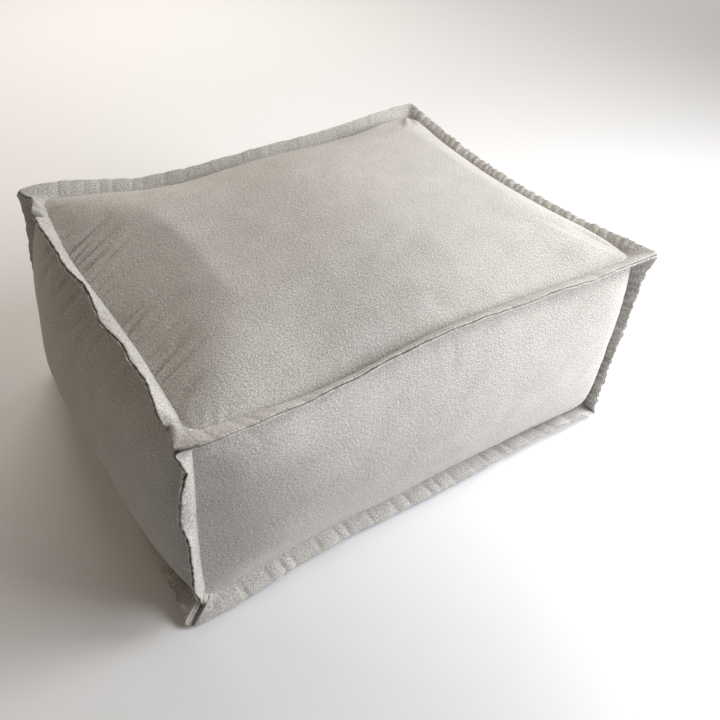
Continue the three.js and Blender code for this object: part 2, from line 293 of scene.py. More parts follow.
def panel_points(panel, u, v, fullness=1.0):
    """The panel's points at u, v: stretched between its four seams, then raised by its crown."""
    u0, u1, v0, v1 = PANELS[panel]["edges"]
    share_u, share_v = u[:, None], v[:, None]
    between = seam_line(u0, v) * (1 - share_u) + seam_line(u1, v) * share_u
    across = seam_line(v0, u) * (1 - share_v) + seam_line(v1, u) * share_v
    (near, far), (near_end, far_end) = (seam_line(s, np.array([0.0, 1.0])) for s in (v0, v1))
    flat = (near * (1 - share_u) + far * share_u) * (1 - share_v)
    flat += (near_end * (1 - share_u) + far_end * share_u) * share_v
    return between + across - flat + np.outer(fullness * crown(panel, u, v), OUT[panel])


print("panels:", ", ".join(PANELS))


# %% Small helpers for selecting and for moving points in code
def only(obj):
    """Select this object alone and make it active."""
    bpy.ops.object.select_all(action="DESELECT")
    obj.select_set(True)
    bpy.context.view_layer.objects.active = obj


def points_of(obj):
    found = np.empty(len(obj.data.vertices) * 3)
    obj.data.vertices.foreach_get("co", found)
    return found.reshape(-1, 3)


def move_points(obj, points):
    obj.data.vertices.foreach_set("co", np.asarray(points, float).ravel())
    obj.data.update()


def write_uv(obj, places):
    """Give every point's place in its UV map, in metres of cloth."""
    corners = np.empty(len(obj.data.loops), int)
    obj.data.loops.foreach_get("vertex_index", corners)
    obj.data.uv_layers.active.data.foreach_set("uv", places[corners].ravel())


def merge_and_face_out(obj, within):
    only(obj)
    bpy.ops.object.mode_set(mode="EDIT")
    bpy.ops.mesh.select_all(action="SELECT")
    bpy.ops.mesh.remove_doubles(threshold=within)
    bpy.ops.mesh.normals_make_consistent(inside=False)
    bpy.ops.object.mode_set(mode="OBJECT")


print("helpers ready")

# %% Cut the six panels
UNFILLED = 0.94  # of its crown, with which a panel starts where the filling swells it afterwards
FULLNESS = UNFILLED


def cloth_lengths(points):
    """How far each point of a grid lies from the grid's middle, along the cloth, both ways."""
    lengths = []
    for axis in (1, 0):
        steps = np.linalg.norm(np.diff(points, axis=axis), axis=2)
        run = np.concatenate([np.zeros_like(np.take(steps, [0], axis)), np.cumsum(steps, axis)], axis)
        lengths.append(run - np.take(run, [run.shape[axis] // 2], axis))
    return lengths


def turn_to_grain(panel, places):
    """Places on a flat panel, turned so that the weave runs along the first number."""
    angle = math.radians(PANELS[panel]["grain"])
    u, v = places[..., 0], places[..., 1]
    return np.stack([
        math.cos(angle) * u + math.sin(angle) * v,
        math.cos(angle) * v - math.sin(angle) * u,
    ], axis=-1)


def cut_panel(name):
    """One panel as a grid, with its places on the flat cloth and its sewn edge marked."""
    u0, _, v0, _ = PANELS[name]["edges"]
    columns, rows = (round(np.linalg.norm(run_of(s)) / CELL) for s in (v0, u0))
    bpy.ops.mesh.primitive_grid_add(x_subdivisions=columns, y_subdivisions=rows, size=1)
    panel = bpy.context.object
    panel.name = name + "_panel"
    u, v = (crowd(t) for t in points_of(panel)[:, :2].T + 0.5)
    order = np.lexsort((u.round(5), v.round(5)))  # row by row, as on the cutting table
    table = panel_points(name, u, v)[order].reshape(rows + 1, columns + 1, 3)
    places = np.empty((len(u), 2))
    places[order] = np.dstack(cloth_lengths(table)).reshape(-1, 2)
    write_uv(panel, turn_to_grain(name, places) * MM)
    move_points(panel, panel_points(name, u, v, FULLNESS) * MM)
    sewn = panel.vertex_groups.new(name="sewn")
    edge = np.isclose(u, 0) | np.isclose(u, 1) | np.isclose(v, 0) | np.isclose(v, 1)
    sewn.add(np.nonzero(edge)[0].tolist(), 1.0, "REPLACE")
    return panel


panels = [cut_panel(name) for name in PANELS]
print("cut:", [(p.name, len(p.data.polygons)) for p in panels])

# %% Sew them
only(panels[0])
for panel in panels:
    panel.select_set(True)
bpy.ops.object.join()
body = bpy.context.object
body.name = "filled_cover"
SEWN_WITHIN = 0.0002
merge_and_face_out(body, SEWN_WITHIN)
print("sewn cover:", len(body.data.vertices), "points")

# %% [markdown]
# ## The filling
#
# Real filling presses on the cloth from inside, and the cloth gives most in the middle of a panel and
# least at the stitching. Blender's Cloth does the same with pressure: the stitching is pinned, gravity
# is off, and twenty frames are enough for the cloth to swell and settle. A little slack in the cloth
# makes the shallow dimples that a real cushion has. How far a point may move is capped, so that the
# cover stays near its solid, and the bottom stays flat where the pouf lies on the floor.

# %% Fill the cover
PRESSURE = 4.0
FRAMES = 20
QUALITY = 5  # steps of the simulation in each frame
MOST_MOVE = 0.012  # metres that a point may move
SLACK = -0.0015  # a negative shrink is cloth cut a little larger than the panel


def fill(cover):
    """The cover's points once the filling has swollen it."""
    before = points_of(cover)
    only(cover)
    bpy.ops.object.modifier_add(type="CLOTH")
    cloth = cover.modifiers[-1]
    cloth.settings.quality = QUALITY
    cloth.settings.vertex_group_mass = "sewn"
    cloth.settings.use_pressure = True
    cloth.settings.uniform_pressure_force = PRESSURE
    cloth.settings.shrink_min = SLACK
    cloth.settings.effector_weights.gravity = 0
    for step in range(1, FRAMES + 1):
        bpy.context.scene.frame_set(step)
    bpy.ops.object.modifier_apply(modifier=cloth.name)
    bpy.context.scene.frame_set(1)
    moved = points_of(cover) - before
    far = np.linalg.norm(moved, axis=1, keepdims=True)
    print("filling moved the cloth by up to", round(far.max() / MM, 1), "mm")
    print("and by", round(far.mean() / MM, 1), "mm on average")
    return before + moved * np.minimum(1, MOST_MOVE / np.maximum(far, 1e-9))


move_points(body, fill(body))

# %% Smooth it and press it flat on the floor
def subdivide(obj, levels):
    only(obj)
    bpy.ops.object.modifier_add(type="SUBSURF")
    finer = obj.modifiers[-1]
    finer.levels = finer.render_levels = levels
    bpy.ops.object.modifier_apply(modifier=finer.name)


def press_on_floor(obj):
    points = points_of(obj)
    points[:, 2] = np.maximum(points[:, 2], 0)
    move_points(obj, points)


subdivide(body, 1)
press_on_floor(body)
only(body)
bpy.ops.object.shade_smooth()
print("cover:", len(body.data.polygons), "faces")

# %% [markdown]
# ## Gathers and uneven filling
#
# Where a seam is a little shorter than the cloth beside it, the cloth gathers: shallow valleys start
# at the stitching and fade out after 2 to 12 centimetres. They could be left to the simulation, but
# it puts them where it likes. Here each group of gathers is a row in a table, and its valleys are
# pressed into the points of the cover. The filling isn't even either, so the cover gets broad, weak lumps.

# %% The gathers' table
# on: the panel; from the seam, between start and end; long, deep, wide: millimetres; turn: the angle
# from straight into the panel
GATHERS = [
    dict(on="top", seam="left_top", start=0.16, end=0.74, count=21, long=100, deep=2.6, wide=3.8, turn=22),
    dict(on="top", seam="left_top", start=0.74, end=0.95, count=5, long=55, deep=1.4, wide=5, turn=10),
    dict(on="top", seam="left_top", start=0.05, end=0.18, count=3, long=50, deep=1.3, wide=5, turn=24),
    dict(on="top", seam="front_top", start=0.02, end=0.07, count=2, long=36, deep=1.0, wide=5, turn=-30),
    dict(on="top", seam="front_top", start=0.2, end=0.95, count=14, long=38, deep=0.4, wide=6, turn=12),
    dict(on="top", seam="right_top", start=0.1, end=0.9, count=14, long=35, deep=0.8, wide=4.5, turn=-12),
    dict(on="top", seam="back_top", start=0.1, end=0.9, count=14, long=35, deep=0.8, wide=5, turn=10),
    dict(on="left", seam="left_top", start=0.2, end=0.85, count=12, long=75, deep=1.8, wide=4.6, turn=-25),
    dict(on="left", seam="front_left", start=0.15, end=0.9, count=9, long=40, deep=0.9, wide=4.5, turn=14),
    dict(on="left", seam="left_low", start=0.1, end=0.9, count=10, long=35, deep=0.9, wide=5, turn=8),
    dict(on="front", seam="front_left", start=0.1, end=0.95, count=13, long=45, deep=1, wide=4.4, turn=12),
    dict(on="front", seam="front_top", start=0.015, end=0.06, count=2, long=45, deep=0.8, wide=7, turn=20),
    dict(
        on="front", seam="front_top",
        start=0.15, end=0.95, count=16, long=35, deep=0.35, wide=5.5, turn=-14,
    ),
    dict(on="front", seam="front_right", start=0.1, end=0.9, count=9, long=35, deep=0.5, wide=4.5, turn=8),
    dict(on="front", seam="front_low", start=0.05, end=0.95, count=16, long=36, deep=0.9, wide=5, turn=10),
    dict(on="right", seam="right_top", start=0.1, end=0.9, count=12, long=45, deep=0.9, wide=5, turn=12),
    dict(on="right", seam="front_right", start=0.1, end=0.9, count=8, long=40, deep=0.9, wide=5, turn=10),
    dict(on="right", seam="right_low", start=0.1, end=0.9, count=10, long=35, deep=0.9, wide=5, turn=-8),
    dict(on="back", seam="back_top", start=0.1, end=0.9, count=15, long=40, deep=0.9, wide=5, turn=12),
    dict(on="back", seam="back_left", start=0.1, end=0.9, count=8, long=38, deep=0.9, wide=5, turn=-10),
    dict(on="back", seam="back_right", start=0.1, end=0.9, count=8, long=38, deep=0.9, wide=5, turn=10),
    dict(on="back", seam="back_low", start=0.1, end=0.9, count=14, long=35, deep=0.9, wide=5, turn=8),
]
SEED = 11  # of the gathers and of the flanges' creases
print("gathers:", sum(row["count"] for row in GATHERS), "in", len(GATHERS), "groups")


# %% Directions on a panel
def unit(v):
    return v / np.linalg.norm(v, axis=-1, keepdims=True)


def across_panel(panel):
    """The two directions, along u and along v, of a panel."""
    u0, _, v0, _ = PANELS[panel]["edges"]
    return unit(run_of(v0)), unit(run_of(u0))


def outward_at(panel, seam):
    """The direction in a panel's plane that leaves the panel over this seam."""
    u, v = across_panel(panel)
    return dict(zip(PANELS[panel]["edges"], (-u, u, -v, v)))[seam]


def normals_of(obj):
    found = np.empty(len(obj.data.vertices) * 3)
    obj.data.vertices.foreach_get("normal", found)
    return found.reshape(-1, 3)


def loose_share(obj):
    """0 on the stitching and 1 where the cloth is free."""
    share = np.ones(len(obj.data.vertices))
    for vertex in obj.data.vertices:
        for group in vertex.groups:
            share[vertex.index] = 1 - group.weight
    return share


print("the top's u and v:", [way.round(2).tolist() for way in across_panel("top")])

# %% Press the gathers into the cover
PLACED = (0.15, 0.85)  # where in its share of the seam a gather may start
TURNED = (-8, 8)  # degrees added to a group's turn
LONGER, DEEPER, WIDER = (0.55, 1.25), (0.5, 1.2), (0.8, 1.25)  # times the group's own size
BEFORE = 0.1  # of its length, how far a gather starts before the stitching
FADE_POWER = 0.6  # under 1, so that a gather is deepest in its first half
RIDGE, RIDGE_AT = 0.45, 1.8  # the cloth rises beside a valley: how much of its depth, and where
REACHED = 5  # times its width, how far to the side a gather is felt
FACES = 0.3  # a panel's points face at least this much to its outward side


def gather_depth(points, row, chance):
    """How far one group of gathers lowers each point, in millimetres."""
    spread = (np.arange(row["count"]) + chance.uniform(*PLACED, row["count"])) / row["count"]
    starts = seam_line(row["seam"], row["start"] + (row["end"] - row["start"]) * spread)
    inward = -outward_at(row["on"], row["seam"])
    sideways = np.cross(OUT[row["on"]], inward)
    depth = np.zeros(len(points))
    for start in starts:
        angle = math.radians(row["turn"] + chance.uniform(*TURNED))
        long = row["long"] * chance.uniform(*LONGER)
        deep = row["deep"] * chance.uniform(*DEEPER)
        wide = row["wide"] * chance.uniform(*WIDER)
        ahead = math.cos(angle) * inward + math.sin(angle) * sideways
        beside = np.cross(OUT[row["on"]], ahead)
        s = (points - start) @ ahead / long
        c = (points - start) @ beside / wide
        near = (s > -BEFORE) & (s < 1) & (np.abs(c) < REACHED)
        fade = np.sin(math.pi * np.clip(s[near] + BEFORE, 0, 1) ** FADE_POWER)
        valley = np.exp(-c[near] ** 2) - RIDGE * np.exp(-(np.abs(c[near]) - RIDGE_AT) ** 2)
        depth[near] += deep * fade * valley
    return depth


def press_gathers(cover):
    """Lower the cover's points by the depth of all its gathers, but not on the stitching."""
    points = points_of(cover) / MM
    facing = normals_of(cover)
    loose = loose_share(cover)
    chance = np.random.default_rng(SEED)
    for row in GATHERS:
        there = np.nonzero(facing @ OUT[row["on"]] > FACES)[0]
        depth = gather_depth(points[there], row, chance) * loose[there]
        points[there] -= np.outer(depth, OUT[row["on"]])
    move_points(cover, points * MM)


press_gathers(body)
print("gathers pressed in")

# %% Make the filling uneven
LUMPS = ((130, 2.2), (48, 0.7), (20, 0.22))  # how wide and how high, in millimetres
EVEN_BELOW = 0.03  # metres over the floor, where the lumps fade out


def uneven(cover):
    """Raise and lower the free cloth by soft noise."""
    points, facing, loose = points_of(cover), normals_of(cover), loose_share(cover)
    lump = np.array([
        sum(high * noise.noise(Vector(p / (wide * MM))) for wide, high in LUMPS) for p in points
    ])
    free = np.clip(points[:, 2] / EVEN_BELOW, 0, 1) * loose
    move_points(cover, points + facing * (lump * free * MM)[:, None])
    print("lumps from", round(lump.min(), 1), "to", round(lump.max(), 1), "mm")


uneven(body)
press_on_floor(body)

# %% [markdown]
# ## The flanges
#
# Past the stitching, each panel's edge is turned back on itself and stands out. That strip is one
# closed ring round the panel, and the rings of two panels lie together along each seam. Solidify could
# thicken a bent strip, but it throws spikes where the strip turns sharply into a corner. So a ring is
# one grid that closes both ways, round the panel and round its own thickness, and a Subdivision Surface
# rounds the folded edge. A flange is a little puffed, small creases run across it, and near a corner
# it is pinched, where two seams pull it different ways.

# %% Sizes of a strip
FLANGE = 25
LAYER = 3  # the cloth lies double in it
CLOSED = 0.3  # between the layers at the stitching
EAR_BLEND = 12  # from a corner, over which a flange bends into the corner's ear
EAR_GAP = 0.5  # between the layers at the ear's tip
FLAT_SECTOR = 0.3  # below it, a panel's two strips meet nearly straight, so the third seam tells the side
TUCKED = 0.16  # the strip goes on this share of its width into the seam, out of sight
STRIP_ROWS = 8  # from the tucked edge to the folded one
FOLD = 1.06  # times its width, how far out the strip's folded edge comes
STATION = 2.4  # millimetres between the strip's cross-sections
FIRST_STATION = 6.0  # from a corner, where the strip turns into the ear
ROUNDED = 24  # from a corner, where the stitching of a panel's own edge starts to turn
VALLEY = 3.2  # half the width of a crease
outs = np.linspace(-TUCKED, 1, STRIP_ROWS + 1)
loop_outs = np.concatenate([outs, [FOLD], outs[::-1]])  # over one face, round the fold, and back
print("a strip has", len(loop_outs), "points round its thickness")

# %% Creases and pinches
# All in millimetres. plump: how far a layer bulges; apart, deep: of its creases; slant: how far a
# crease runs on along the seam while it crosses the flange; fold: the same for the wide folds of the
# seams' table; gap: between the layers at the folded edge; wave: how far that edge swings to and fro
CREASES = {
    "front_top": dict(plump=1.6, apart=30, deep=1.7, slant=9, fold=4, gap=0.1, wave=0.8),
    "back_top": dict(plump=1.4, apart=26, deep=1.3, slant=8, fold=4, gap=1.3, wave=1.0),
    "front_low": dict(plump=1.9, apart=30, deep=3.2, slant=8, fold=5, gap=1.3, wave=2.2),
    "back_low": dict(plump=1.4, apart=26, deep=1.3, slant=8, fold=4, gap=1.5, wave=1.0),
    "left_top": dict(plump=2.7, apart=18, deep=3.4, slant=9, fold=9, gap=0.9, wave=0.6),
    "right_top": dict(plump=3.2, apart=13, deep=4.8, slant=7, fold=5, gap=1.5, wave=1.9),
    "left_low": dict(plump=1.4, apart=26, deep=1.5, slant=8, fold=5, gap=1.5, wave=1.0),
    "right_low": dict(plump=1.4, apart=26, deep=1.3, slant=8, fold=4, gap=1.5, wave=1.0),
    "front_left": dict(plump=3.3, apart=14, deep=3.9, slant=-13, fold=-12, gap=1.4, wave=0.5),
    "front_right": dict(plump=3.4, apart=13, deep=6.0, slant=5, fold=5, gap=1.5, wave=2.4),
    "back_left": dict(plump=1.4, apart=20, deep=1.6, slant=8, fold=4, gap=1.5, wave=1.0),
    "back_right": dict(plump=1.4, apart=22, deep=1.4, slant=8, fold=4, gap=1.5, wave=1.0),
}

# Near some corners the seams pull a flange out of its way. For one end of a seam: how far from the
# corner, and where the folded edge is from the stitching there, along X, Y and Z
PINCHES = {
    ("left_top", "left_front_top"): (
        (8, (-16, -10, -1)), (15, (-13, -3, 0)), (20, (-11, 1, 0)), (27, (-15, -1, 0)),
    ),
    ("front_left", "left_front_top"): ((6, (-19, -16, -1)), (14, (-17, -21, -1)), (22, (-16, -24, 0))),
    ("front_left", "left_front_low"): (
        (8, (0, -2, -21)), (14, (-6, 0, -12)), (19, (-11, 0, 0)), (25, (-12, 2, 1)),
    ),
    ("left_low", "left_front_low"): (
        (6, (-31, -13, -16)), (14, (-30, -8, -15)), (25, (-28, -2, -8)), (42, (-27, 0, 6)),
    ),
    ("left_top", "left_back_top"): (
        (6, (-17, 11, 6)), (12, (-9, 9, 8)), (20, (-12, 3, 5)), (30, (-17, 0, 6)),
        (38, (-18, 0, 2)), (50, (-10, 0, -2)),
    ),
}
PINCH_ENDS = 14  # millimetres after the last row, until the flange is its usual self
print("creases on", len(CREASES), "seams,", len(PINCHES), "pinches")


# %% Soft noise and creases along a seam
NOISE_SCALE = 1.6  # brings Blender's noise to between about -1 and 1
CREASE_STEPS = (0.55, 1.5)  # times the seam's own distance between two creases
CREASE_STRENGTHS = (0.4, 1.15)
ENOUGH = 2.5  # times the creases that even steps would need, so that short steps reach the end too
VALLEY_SHARE, PILLOW_SHARE = 0.7, 0.3  # of a crease's depth, in its valley and in the sag up to it
PILLOW_POWER = 0.7  # under 1, so that the cloth between two creases is flat-topped


def noise_line(places, wide, seed):
    """Soft noise between about -1 and 1 along a seam."""
    return np.array([NOISE_SCALE * noise.noise(Vector((place / wide, seed, 0.5))) for place in places])


def crease_places(seam, length):
    """Where a seam's creases are, and how strong each one is."""
    row = CREASES[seam]
    chance = np.random.default_rng(SEED + list(SEAMS).index(seam))
    steps = row["apart"] * chance.uniform(*CREASE_STEPS, int(ENOUGH * length / row["apart"]))
    places = np.cumsum(steps) - row["apart"]
    return places, chance.uniform(*CREASE_STRENGTHS, len(places))


def crease(seam, length, along):
    """About 1 in a crease's valley and 0 half way between two, at each place along the seam."""
    places, strength = crease_places(seam, length)
    after = np.clip(np.searchsorted(places, along), 1, len(places) - 1)
    start, end = places[after - 1], places[after]
    share = np.clip((along - start) / (end - start), 0, 1)
    pillow = (4 * share * (1 - share)) ** PILLOW_POWER
    nearest = np.minimum(np.abs(along - start), np.abs(end - along))
    valley = np.exp(-(nearest / VALLEY) ** 2)
    firm = strength[after - 1] * (1 - share) + strength[after] * share
    return (VALLEY_SHARE * valley + PILLOW_SHARE * (1 - pillow)) * firm


print("creases of the near upright:", crease_places("front_left", 310)[0][:6].round())


# %% How the corners bend a flange
def pinched(seam, length, t, blade):
    """The reach of the flange, held by the corners' pinches, and how firmly it is held."""
    held = np.zeros(len(t))
    for (pinched_seam, name), rows in PINCHES.items():
        if pinched_seam != seam:
            continue
        away = (t if SEAMS[seam]["ends"][0] == name else 1 - t) * length
        stops = [0.0] + [stop for stop, _ in rows]
        reaches = np.array([CORNERS[name]["ear"]] + [reach for _, reach in rows], float)
        fixed = np.stack([np.interp(away, stops, reaches[:, axis]) for axis in range(3)], axis=1)
        share = np.clip(1 - (away - stops[-1]) / PINCH_ENDS, 0, 1)
        blade = blade * (1 - share[:, None]) + fixed * share[:, None]
        held = np.maximum(held, share)
    return blade, held


def rounding(panel, seam, name, away):
    """How far a panel's own stitching is moved where it turns round a corner."""
    ways = {}
    for other, row in SEAMS.items():
        if panel in row["between"] and name in row["ends"]:
            ways[other] = unit(run_of(other)) * (1 if row["ends"][0] == name else -1)
    own = ways.pop(seam)
    (next_one,) = ways.values()
    share = 0.5 * np.clip(1 - away / ROUNDED, 0, 1)
    along = np.where(away < ROUNDED, ROUNDED * (1 - share) ** 2 - away, 0)
    return np.outer(along, own) + np.outer(ROUNDED * share ** 2, next_one)


at_the_corner = rounding("top", "front_top", "left_front_top", np.zeros(1))[0]
print("rounding moves the top's near left corner by", at_the_corner.round(1), "mm")


# %% How a strip varies along its seam
TIP = 0.45  # of the layer's thickness, how far its folded edge is rounded out
PLAIN = 20  # from a corner, within which a flange has fewer and fewer creases and waves
GAP_VARIES, GAP_WIDE = 0.55, 26  # by which share, and over how many millimetres
WAVE_WIDE = 0.8  # of the distance between two creases
HEIGHT_VARIES, HEIGHT_WIDE = 0.035, 15
DRAWN = 0.03  # of the flange's height, how far a crease one millimetre deep draws its edge in
SEAM_SEED, LAYER_SEED = 7.3, 2.1  # steps that keep the noise of seams and of layers apart


def thicken(middles, side):
    """Closed cross-sections round the middles of a layer."""
    half = side * LAYER / 2
    tip = middles[:, -1:] + unit(middles[:, -1:] - middles[:, -2:-1]) * (TIP * LAYER)
    return np.concatenate([middles + half, tip, (middles - half)[:, ::-1]], axis=1)


def blade_on_seam(panel, seam, t):
    """How the flange stands at each t, how firmly it is held, and how the stitching turns."""
    row = SEAMS[seam]
    a, b = row["between"]
    length = np.linalg.norm(run_of(seam))
    lean = np.radians(smooth(row["lean"], t))
    blade = FLANGE * (np.outer(np.cos(lean), OUT[a]) + np.outer(np.sin(lean), OUT[b]))
    turning = np.zeros((len(t), 3))
    for name, away in zip(row["ends"], (t, 1 - t)):
        pull = np.exp(-away * length / EAR_BLEND)[:, None]
        blade = blade * (1 - pull) + np.array(CORNERS[name]["ear"]) * pull
        turning += rounding(panel, seam, name, away * length)
    return *pinched(seam, length, t, blade), turning


print("a flange's layers stand", CLOSED, "mm apart at the stitching")


# %% A strip on its seam
def strip_on_seam(panel, seam, t):
    """Closed cross-sections of the panel's layer at each t, as rows of points."""
    row, folds = SEAMS[seam], CREASES[seam]
    a, b = row["between"]
    run = run_of(seam)
    length = np.linalg.norm(run)
    blade, held, turning = blade_on_seam(panel, seam, t)
    to_a = unit(np.cross(run, blade))
    to_a *= np.sign(to_a @ (OUT[a] - OUT[b]))[:, None]
    side = to_a if panel == a else -to_a
    seed_b = SEAM_SEED * list(SEAMS).index(seam)
    seed_a = seed_b + LAYER_SEED
    seed = seed_a if panel == a else seed_b
    along = t * length
    inner = np.clip(np.minimum(t, 1 - t) * length / PLAIN, 0, 1)
    gap = (folds["gap"] - CLOSED) * (1 + GAP_VARIES * noise_line(along, GAP_WIDE, seed))
    gap = gap * inner + (EAR_GAP - CLOSED) * (1 - inner)
    # both layers swing together, so they share a seed
    wave = folds["wave"] * inner * noise_line(along, WAVE_WIDE * folds["apart"], seed_a)
    taller = 1 + HEIGHT_VARIES * inner * noise_line(along, HEIGHT_WIDE, seed + 1)
    base = seam_line(seam, t) + turning
    blade = blade - turning
    sections = []
    for out in outs:
        free = min(max(out, 0), 1)
        folded = np.clip(t - folds["fold"] * (1 - free) / length, 0, 1)
        swing = (np.interp(folded, row["at"], row["swing"]) + wave) * (1 - held) * free ** 2
        deep = folds["deep"] * inner * crease(seam, length, along - folds["slant"] * (free - 0.5))
        bulge = folds["plump"] * inner * math.sin(math.pi * free) - deep * min(1, 4 * free)
        offset = np.maximum((CLOSED + gap * free + LAYER) / 2 + bulge, (CLOSED + LAYER) / 2)
        height = out * (1 + (taller - 1) * free) - DRAWN * deep * free
        sections.append(base + blade * height[:, None] + side * offset[:, None] + to_a * swing[:, None])
    return thicken(np.stack(sections, axis=1), side[:, None])


# %% A strip at an ear
def strip_on_ear(panel, name):
    """The one cross-section that a panel's two strips share at a corner."""
    ear = np.array(CORNERS[name]["ear"], float)
    axis = unit(ear)
    own, other, turning = [], None, None
    for seam, row in SEAMS.items():
        if name not in row["ends"]:
            continue
        away = run_of(seam) * (1 if row["ends"][0] == name else -1)
        wall = unit(away - axis * (away @ axis))
        if panel in row["between"]:
            own.append(wall)
            turning = rounding(panel, seam, name, np.zeros(1))[0]
        else:
            other = wall
    side = own[0] + own[1]
    if np.linalg.norm(side) < FLAT_SECTOR:
        side = -other
    side = unit(side if side @ other <= 0 else -side)
    spread = min(math.sin(min(math.acos(side @ wall), math.pi / 2)) for wall in own)
    sections = []
    for out in outs:
        offset = (CLOSED + (EAR_GAP - CLOSED) * max(out, 0) + LAYER) / 2 / spread
        sections.append(corner(name) + turning + (ear - turning) * out + side * offset)
    return thicken(np.array(sections)[None], side)


def stations(seam):
    """Where along a seam a strip has its cross-sections."""
    length = np.linalg.norm(run_of(seam))
    count = round((length - 2 * FIRST_STATION) / STATION)
    return np.linspace(FIRST_STATION, length - FIRST_STATION, count + 1) / length


print("a long seam has", len(stations("front_top")), "cross-sections")


# %% Where a strip lies on the flat cloth
def flat_on_seam(panel, seam, t):
    """The same cross-sections on the uncut cloth, in millimetres from the panel's middle."""
    u, v = across_panel(panel)
    middle = np.mean([seam_line(s, np.array([0.5]))[0] for s in PANELS[panel]["edges"]], axis=0)
    base = seam_line(seam, t) - middle
    places = base[:, None] + outward_at(panel, seam) * (FLANGE * loop_outs)[None, :, None]
    return turn_to_grain(panel, np.stack([places @ u, places @ v], axis=-1))


print("the top's strip lies at u, v =", flat_on_seam("top", "front_top", np.array([0.5]))[0, 0].round())


# %% Bend the strips round their panels
def ring_sections(panel):
    """All cross-sections of a panel's ring in order, and their places on the flat cloth."""
    u0, u1, v0, v1 = PANELS[panel]["edges"]
    sections, places = [], []
    for seam, forward in ((u0, True), (v1, True), (u1, False), (v0, False)):
        t, ends = stations(seam), (0.0, 1.0)
        names = SEAMS[seam]["ends"]
        if not forward:
            t, ends, names = t[::-1], ends[::-1], names[::-1]
        sections += [strip_on_ear(panel, names[0]), strip_on_seam(panel, seam, t)]
        places.append(flat_on_seam(panel, seam, np.concatenate([[ends[0]], t])))
    return np.concatenate(sections), np.concatenate(places)


CLOSES_WITHIN = 1e-6  # metres, between the grid's borders where they meet


def bend_ring(panel):
    """A panel's ring of flange as a grid that closes both ways, and its length in metres."""
    sections, places = ring_sections(panel)
    around, across = sections.shape[:2]
    bpy.ops.mesh.primitive_grid_add(x_subdivisions=around, y_subdivisions=across, size=1)
    ring = bpy.context.object
    ring.name = panel + "_flange_layer"
    flat = points_of(ring)
    i = np.rint((flat[:, 0] + 0.5) * around).astype(int) % around
    k = np.rint((flat[:, 1] + 0.5) * across).astype(int) % across
    move_points(ring, sections[i, k] * MM)
    write_uv(ring, places[i, k] * MM)
    merge_and_face_out(ring, CLOSES_WITHIN)
    subdivide(ring, 1)
    bpy.ops.object.shade_smooth()
    edge = sections[:, len(outs)]
    return ring, np.linalg.norm(np.diff(edge, axis=0, append=edge[:1]), axis=1).sum() * MM


rings = {panel: bend_ring(panel) for panel in PANELS}
print("rings:", {ring.name: (len(ring.data.polygons), round(length, 2)) for ring, length in rings.values()})

# %% [markdown]
# ## The cloth
#
# The cloth is woven of mixed yarns, some pale and some darker, so from near by it is full of short
# streaks that lie along one direction, and from far off it is a soft greige. A picture of the cloth
# would repeat and would have to be read from a file, so the streaks are noise that is stretched along
# the grain. Each panel was cut with its own turn of the grain, and its UV map is in metres of cloth,
# so the streaks keep their size on a crowned panel. Fine ribs in both directions make the weave.

# %% Shader sums as Python sums
class Wire:
    """A node's output that can be added, subtracted and multiplied."""

    def __init__(self, finish, socket):
        self.finish, self.socket = finish, socket

    def __add__(self, other):
        return self.finish.sum("ADD", self, other)

    def __sub__(self, other):
        return self.finish.sum("SUBTRACT", self, other)

    def __rsub__(self, other):
        return self.finish.sum("SUBTRACT", other, self)

    def __mul__(self, other):
        return self.finish.sum("MULTIPLY", self, other)

    __radd__, __rmul__ = __add__, __mul__


class Finish:
    """A material, and the methods that add nodes to it."""

    def __init__(self, name):
        self.material = bpy.data.materials.new(name)
        self.material.use_nodes = True
        self.tree = self.material.node_tree
        self.shader = self.tree.nodes["Principled BSDF"]

    def add(self, kind, settings, values, output=0):
        node = self.tree.nodes.new(kind)
        for name, value in settings.items():
            setattr(node, name, value)
        for name, value in values.items():
            if isinstance(value, Wire):
                self.tree.links.new(value.socket, node.inputs[name])
            else:
                node.inputs[name].default_value = value
        return Wire(self, node.outputs[output])

    def sum(self, operation, *values):
        return self.add("ShaderNodeMath", {"operation": operation}, dict(enumerate(values)))

    def mix(self, share, a, b):
        return self.add("ShaderNodeMix", {"data_type": "RGBA"}, {0: share, 6: a, 7: b}, output=2)

    def feed(self, name, wire):
        self.tree.links.new(wire.socket, self.shader.inputs[name])


print("shader helpers ready")


# %% Streaks and weave
def stretched_noise(cloth, place, along, across, detail, shift):
    """Noise whose grains are so many millimetres along and across the weave."""
    scale = (1 / (along * MM), 1 / (across * MM), 1)
    scaled = cloth.add("ShaderNodeMapping", {}, {
        "Vector": place, "Location": (shift, shift, 0), "Scale": scale})
    return cloth.add("ShaderNodeTexNoise", {"noise_dimensions": "2D"}, {
        "Vector": scaled, "Scale": 1, "Detail": detail, "Roughness": 0.55})


def ribs(cloth, place, axis, pitch):
    """The height of the yarns across one direction, from -1 to 1."""
    parts = cloth.add("ShaderNodeSeparateXYZ", {}, {"Vector": place}, output=axis)
    return cloth.sum("SINE", parts * (2 * math.pi / (pitch * MM)))


def sharpened(cloth, wire, low, high):
    """0 below one value of the noise, 1 above the other, smooth between."""
    return cloth.add("ShaderNodeMapRange", {"interpolation_type": "SMOOTHSTEP"}, {
        "Value": wire, "From Min": low, "From Max": high})


# %% The yarns
DARK_YARN = (0.228, 0.206, 0.182, 1)
PALE_YARN = (0.665, 0.65, 0.63, 1)
CREAM_FLECK = (0.86, 0.85, 0.83, 1)
YARN_PITCH = 1.7  # millimetres from one rib of the weave to the next

